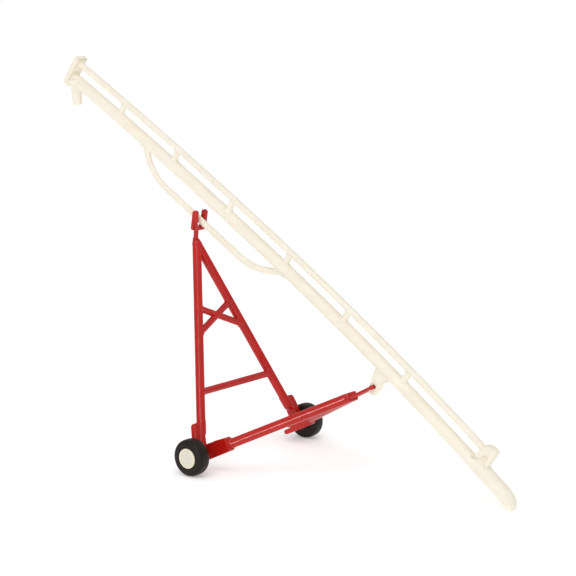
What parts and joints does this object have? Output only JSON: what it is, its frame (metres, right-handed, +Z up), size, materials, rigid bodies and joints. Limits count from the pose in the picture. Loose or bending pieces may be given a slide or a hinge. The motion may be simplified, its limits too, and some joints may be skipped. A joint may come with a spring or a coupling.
{
  "type": "toy grain auger",
  "caption": "Scale model of a portable grain auger: a long inclined tube with a rod above and a rail below, raised by a folding two-wheeled frame.",
  "frame": {"origin": "on the ground, in the middle of the object's length and width", "axes": "+X towards the intake end, +Z up, Y across; the plane Y = 0 is the plane of symmetry. left_ is +Y, right_ is -Y"},
  "size_m": [0.2156, 0.0764, 0.1522],
  "materials": {
    "ivory_plastic": "semi-gloss moulded plastic",
    "red_plastic": "glossy moulded plastic",
    "hub_plastic": "semi-gloss moulded plastic, faintly smudged",
    "tyre": "satin soft plastic"
  },
  "bodies": {
    "lower_frame": {"left_clip": "red_plastic", "right_clip": "red_plastic", "left_bar": "red_plastic", "right_bar": "red_plastic", "bar_junction": "red_plastic", "left_prong": "red_plastic", "right_prong": "red_plastic", "pivot_pin": "red_plastic"},
    "a_frame": {"left_leg": "red_plastic", "right_leg": "red_plastic", "left_foot": "red_plastic", "right_foot": "red_plastic", "left_axle_stub": "red_plastic", "right_axle_stub": "red_plastic", "crossbar": "red_plastic", "x_brace_long": "red_plastic", "x_brace_half_left": "red_plastic", "x_brace_half_right": "red_plastic", "frame_apex": "red_plastic", "fork_neck": "red_plastic", "fork_base": "red_plastic", "fork_ear_left": "red_plastic", "fork_ear_right": "red_plastic"},
    "auger": {"auger_tube": "ivory_plastic", "intake_foot": "ivory_plastic", "head_plate": "ivory_plastic", "discharge_spout": "ivory_plastic", "drive_rod": "ivory_plastic", "rod_post_1": "ivory_plastic", "rod_post_2": "ivory_plastic", "rod_post_3": "ivory_plastic", "rod_post_4": "ivory_plastic", "rod_post_5": "ivory_plastic", "rod_post_6": "ivory_plastic", "lower_drive_box": "ivory_plastic", "fork_rail": "ivory_plastic", "pivot_lug": "ivory_plastic"},
    "right_wheel": {"right_hub": "hub_plastic", "right_tyre": "tyre"},
    "left_wheel": {"left_hub": "hub_plastic", "left_tyre": "tyre"}
  },
  "joints": [
    {"name": "tube_lift", "type": "hinge", "parent": "lower_frame", "child": "auger", "pos_m": [0.04754, 0, 0.0361], "axis": [0, 1, 0], "range_deg": [-10, 18]},
    {"name": "frame_lift", "type": "hinge", "parent": "lower_frame", "child": "a_frame", "pos_m": [-0.01106, 0, 0.007], "axis": [0, 1, 0], "range_deg": [-15, 27]},
    {"name": "right_wheel_spin", "type": "hinge", "parent": "a_frame", "child": "right_wheel", "pos_m": [-0.01106, -0.03515, 0.007], "axis": [0, 1, 0], "continuous": true},
    {"name": "left_wheel_spin", "type": "hinge", "parent": "a_frame", "child": "left_wheel", "pos_m": [-0.01106, 0.03515, 0.007], "axis": [0, 1, 0], "continuous": true}
  ],
  "couplings": [
    {"joint": "frame_lift", "follows": "tube_lift", "ratio": 1.5}
  ]
}
